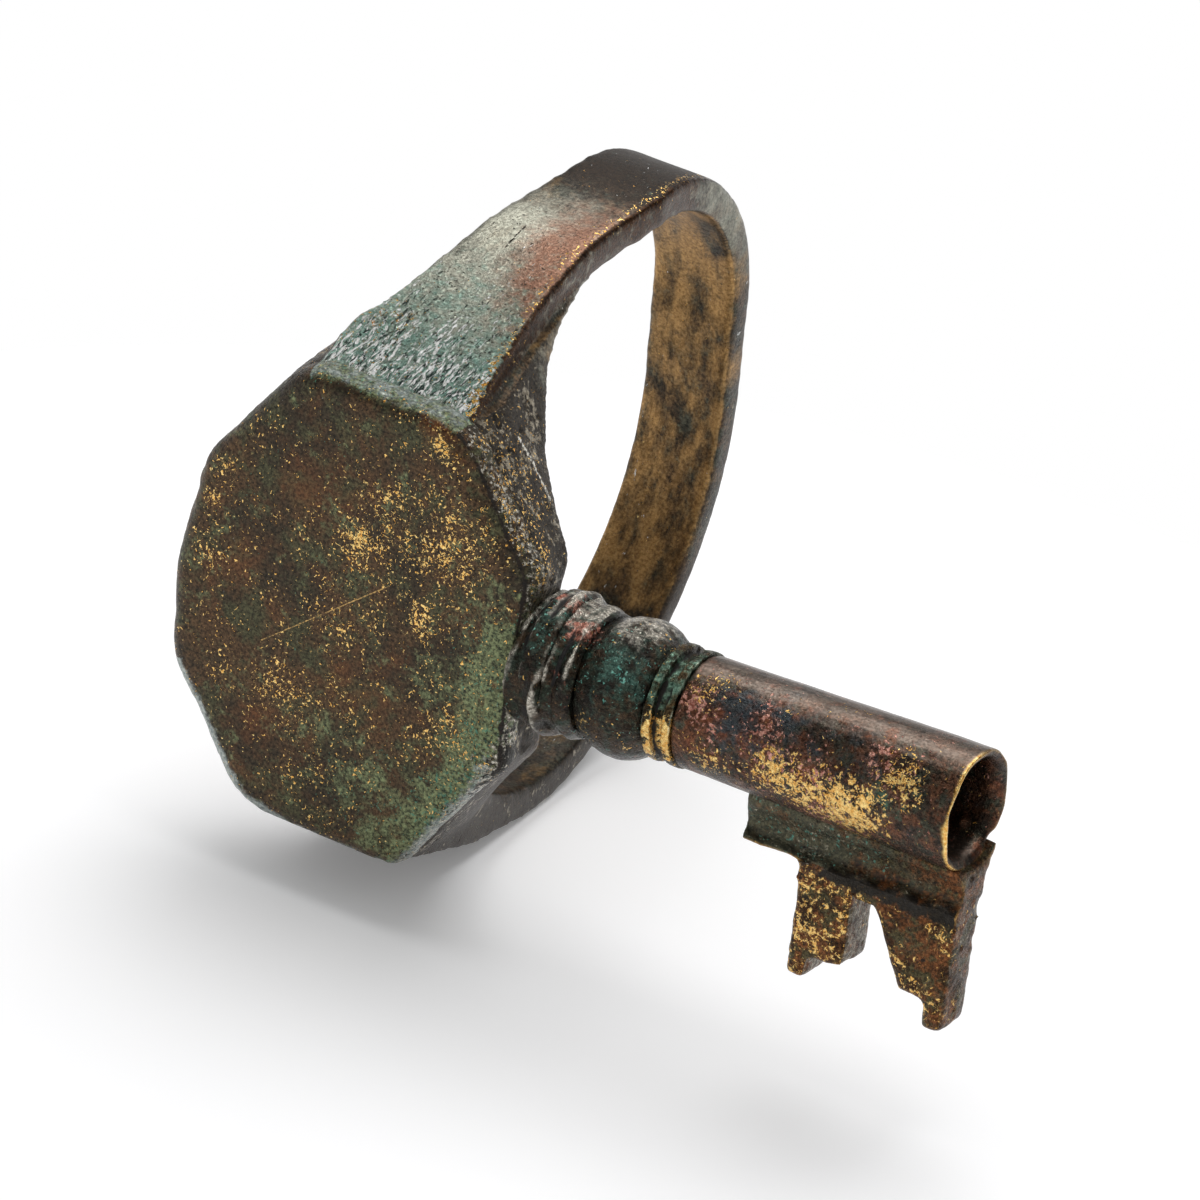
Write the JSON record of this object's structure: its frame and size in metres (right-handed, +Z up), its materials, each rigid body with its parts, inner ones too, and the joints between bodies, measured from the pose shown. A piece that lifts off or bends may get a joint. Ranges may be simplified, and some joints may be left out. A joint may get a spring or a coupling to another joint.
{
  "type": "finger-ring key",
  "caption": "Bronze finger-ring key: a hoop with an eight-sided bezel, and a turned shank with a hollow barrel and a warded bit standing out of its side.",
  "frame": {"origin": "middle of the finger hole", "axes": "+X along the finger, towards the bit; -Y the way the bezel faces; +Z up, with the bit pointing down"},
  "size_m": [0.0256, 0.02, 0.019],
  "materials": {
    "shoulder_bronze": "worn patina, grey with gold edges",
    "bezel_bronze": "dark patina with gold flecks",
    "neck_bronze": "glossy dark patina with green",
    "gilded_bronze": "rubbed bright on the lips",
    "barrel_bronze": "brown patina rubbed to gold",
    "bit_bronze": "brown patina, rough ends"
  },
  "bodies": {
    "root": {"hoop": "shoulder_bronze", "bezel_plate": "bezel_bronze", "shank_foot": "neck_bronze", "inner_collar": "neck_bronze", "outer_collar": "neck_bronze", "ball_knop": "neck_bronze", "barrel_collar": "gilded_bronze", "spindle": "neck_bronze", "barrel": "barrel_bronze", "bit_saddle": "bit_bronze", "rear_ward": "bit_bronze", "front_ward": "bit_bronze"}
  },
  "joints": []
}
